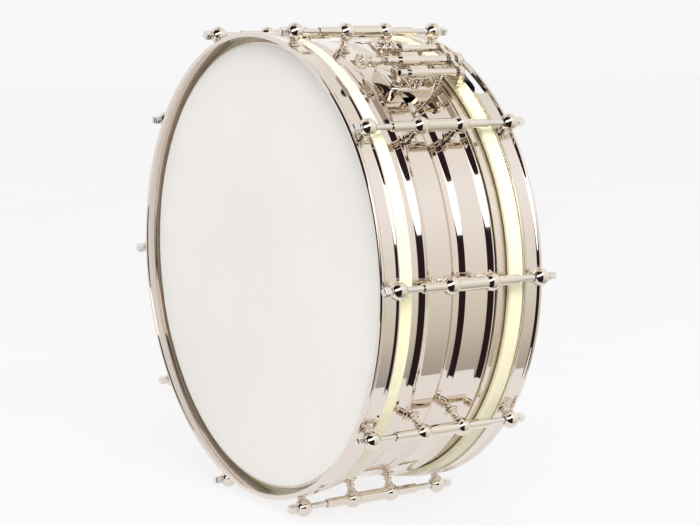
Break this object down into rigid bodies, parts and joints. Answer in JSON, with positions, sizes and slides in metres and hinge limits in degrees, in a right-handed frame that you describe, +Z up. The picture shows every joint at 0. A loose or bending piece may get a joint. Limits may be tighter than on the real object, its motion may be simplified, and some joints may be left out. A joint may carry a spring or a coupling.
{
  "type": "snare drum",
  "caption": "Nickel-plated metal snare drum with tube lugs, cream flesh hoops, coated batter head, coiled snares and a throw-off strainer, lying on its side.",
  "frame": {"origin": "on the floor under the drum's axis, midway between the two heads, with the drum lying on its side on two lugs", "axes": "+Z up; Y is the drum's axis, with the batter head facing -Y and the snare head facing +Y"},
  "size_m": [0.4008, 0.1544, 0.3819],
  "materials": {
    "shell_nickel": "polished nickel plate on brass",
    "hoop_nickel": "polished nickel plate",
    "bright_nickel": "polished nickel plate on turned brass",
    "rod_steel": "polished nickel plate on steel",
    "plain_steel": "zinc-plated steel",
    "snare_steel": "bright steel wire",
    "coated_film": "sprayed coating on polyester film",
    "clear_film": "hazy polyester film",
    "cream_lacquer": "smooth cream lacquer",
    "strap_fabric": "woven tape"
  },
  "bodies": {
    "drum": {"shell": "shell_nickel", "vent_grommet": "bright_nickel", "batter_head": "coated_film", "snare_head": "clear_film", "batter_flesh_hoop": "cream_lacquer", "snare_flesh_hoop": "cream_lacquer", "batter_hoop": "hoop_nickel", "snare_hoop": "hoop_nickel", "batter_hoop_ears": "bright_nickel", "snare_hoop_ears": "bright_nickel", "lug_tubes": "bright_nickel", "lug_posts": "bright_nickel", "lug_feet": "bright_nickel", "lug_screws": "plain_steel", "lug_screw_washers": "plain_steel", "strainer_plate": "bright_nickel", "strainer_brackets": "bright_nickel", "strainer_tubes": "bright_nickel", "strainer_mount_screws": "plain_steel", "lever_pin": "plain_steel", "butt_plate": "bright_nickel", "butt_clamp_plate": "bright_nickel", "butt_clamp_screws": "plain_steel", "butt_mount_screws": "plain_steel"},
    "lever": {"lever": "bright_nickel"},
    "tension_knob": {"tension_knob": "bright_nickel", "tension_spindle": "plain_steel"},
    "carriage": {"crossbar": "bright_nickel", "guide_rods": "plain_steel", "snare_wires": "snare_steel", "snare_end_plates": "snare_steel", "strainer_strap": "strap_fabric", "butt_strap": "strap_fabric"},
    "strap_yoke": {"strap_yoke": "bright_nickel", "yoke_clamp_plate": "bright_nickel", "yoke_clamp_screws": "plain_steel"},
    "batter_rod_01": {"batter_rod_01": "rod_steel"},
    "batter_rod_02": {"batter_rod_02": "rod_steel"},
    "batter_rod_03": {"batter_rod_03": "rod_steel"},
    "batter_rod_04": {"batter_rod_04": "rod_steel"},
    "batter_rod_05": {"batter_rod_05": "rod_steel"},
    "batter_rod_06": {"batter_rod_06": "rod_steel"},
    "batter_rod_07": {"batter_rod_07": "rod_steel"},
    "batter_rod_08": {"batter_rod_08": "rod_steel"},
    "batter_rod_09": {"batter_rod_09": "rod_steel"},
    "batter_rod_10": {"batter_rod_10": "rod_steel"},
    "snare_rod_01": {"snare_rod_01": "rod_steel"},
    "snare_rod_02": {"snare_rod_02": "rod_steel"},
    "snare_rod_03": {"snare_rod_03": "rod_steel"},
    "snare_rod_04": {"snare_rod_04": "rod_steel"},
    "snare_rod_05": {"snare_rod_05": "rod_steel"},
    "snare_rod_06": {"snare_rod_06": "rod_steel"},
    "snare_rod_07": {"snare_rod_07": "rod_steel"},
    "snare_rod_08": {"snare_rod_08": "rod_steel"},
    "snare_rod_09": {"snare_rod_09": "rod_steel"},
    "snare_rod_10": {"snare_rod_10": "rod_steel"}
  },
  "joints": [
    {"name": "lever_turn", "type": "hinge", "parent": "drum", "child": "lever", "pos_m": [0.10443, -0.005, 0.36104], "axis": [-0.809, 0, 0.5878], "range_deg": [0, 80]},
    {"name": "carriage_slide", "type": "slide", "parent": "drum", "child": "carriage", "axis": [0, 1, 0], "range_m": [0, 0.0049]},
    {"name": "knob_turn", "type": "hinge", "parent": "carriage", "child": "tension_knob", "pos_m": [0.11697, -0.041, 0.35193], "axis": [0, 1, 0], "range_deg": [-720, 720]},
    {"name": "adjuster_slide", "type": "slide", "parent": "carriage", "child": "strap_yoke", "axis": [0, 1, 0], "range_m": [-0.0014, 0.0014]},
    {"name": "rod_turn_batter_01", "type": "hinge", "parent": "drum", "child": "batter_rod_01", "pos_m": [0.1934, -0.05, 0.19093], "axis": [0, -1, 0], "continuous": true},
    {"name": "rod_turn_batter_02", "type": "hinge", "parent": "drum", "child": "batter_rod_02", "pos_m": [0.15646, -0.05, 0.30461], "axis": [0, -1, 0], "continuous": true},
    {"name": "rod_turn_batter_03", "type": "hinge", "parent": "drum", "child": "batter_rod_03", "pos_m": [0.05976, -0.05, 0.37487], "axis": [0, -1, 0], "continuous": true},
    {"name": "rod_turn_batter_04", "type": "hinge", "parent": "drum", "child": "batter_rod_04", "pos_m": [-0.05976, -0.05, 0.37487], "axis": [0, -1, 0], "continuous": true},
    {"name": "rod_turn_batter_05", "type": "hinge", "parent": "drum", "child": "batter_rod_05", "pos_m": [-0.15646, -0.05, 0.30461], "axis": [0, -1, 0], "continuous": true},
    {"name": "rod_turn_batter_06", "type": "hinge", "parent": "drum", "child": "batter_rod_06", "pos_m": [-0.1934, -0.05, 0.19093], "axis": [0, -1, 0], "continuous": true},
    {"name": "rod_turn_batter_07", "type": "hinge", "parent": "drum", "child": "batter_rod_07", "pos_m": [-0.15646, -0.05, 0.07726], "axis": [0, -1, 0], "continuous": true},
    {"name": "rod_turn_batter_08", "type": "hinge", "parent": "drum", "child": "batter_rod_08", "pos_m": [-0.05976, -0.05, 0.007], "axis": [0, -1, 0], "continuous": true},
    {"name": "rod_turn_batter_09", "type": "hinge", "parent": "drum", "child": "batter_rod_09", "pos_m": [0.05976, -0.05, 0.007], "axis": [0, -1, 0], "continuous": true},
    {"name": "rod_turn_batter_10", "type": "hinge", "parent": "drum", "child": "batter_rod_10", "pos_m": [0.15646, -0.05, 0.07726], "axis": [0, -1, 0], "continuous": true},
    {"name": "rod_turn_snare_01", "type": "hinge", "parent": "drum", "child": "snare_rod_01", "pos_m": [0.1934, 0.05, 0.19093], "axis": [0, 1, 0], "continuous": true},
    {"name": "rod_turn_snare_02", "type": "hinge", "parent": "drum", "child": "snare_rod_02", "pos_m": [0.15646, 0.05, 0.30461], "axis": [0, 1, 0], "continuous": true},
    {"name": "rod_turn_snare_03", "type": "hinge", "parent": "drum", "child": "snare_rod_03", "pos_m": [0.05976, 0.05, 0.37487], "axis": [0, 1, 0], "continuous": true},
    {"name": "rod_turn_snare_04", "type": "hinge", "parent": "drum", "child": "snare_rod_04", "pos_m": [-0.05976, 0.05, 0.37487], "axis": [0, 1, 0], "continuous": true},
    {"name": "rod_turn_snare_05", "type": "hinge", "parent": "drum", "child": "snare_rod_05", "pos_m": [-0.15646, 0.05, 0.30461], "axis": [0, 1, 0], "continuous": true},
    {"name": "rod_turn_snare_06", "type": "hinge", "parent": "drum", "child": "snare_rod_06", "pos_m": [-0.1934, 0.05, 0.19093], "axis": [0, 1, 0], "continuous": true},
    {"name": "rod_turn_snare_07", "type": "hinge", "parent": "drum", "child": "snare_rod_07", "pos_m": [-0.15646, 0.05, 0.07726], "axis": [0, 1, 0], "continuous": true},
    {"name": "rod_turn_snare_08", "type": "hinge", "parent": "drum", "child": "snare_rod_08", "pos_m": [-0.05976, 0.05, 0.007], "axis": [0, 1, 0], "continuous": true},
    {"name": "rod_turn_snare_09", "type": "hinge", "parent": "drum", "child": "snare_rod_09", "pos_m": [0.05976, 0.05, 0.007], "axis": [0, 1, 0], "continuous": true},
    {"name": "rod_turn_snare_10", "type": "hinge", "parent": "drum", "child": "snare_rod_10", "pos_m": [0.15646, 0.05, 0.07726], "axis": [0, 1, 0], "continuous": true}
  ],
  "couplings": [
    {"joint": "lever_turn", "follows": "carriage_slide", "rad_per_m": 284.9},
    {"joint": "knob_turn", "follows": "adjuster_slide", "rad_per_m": 8975}
  ]
}
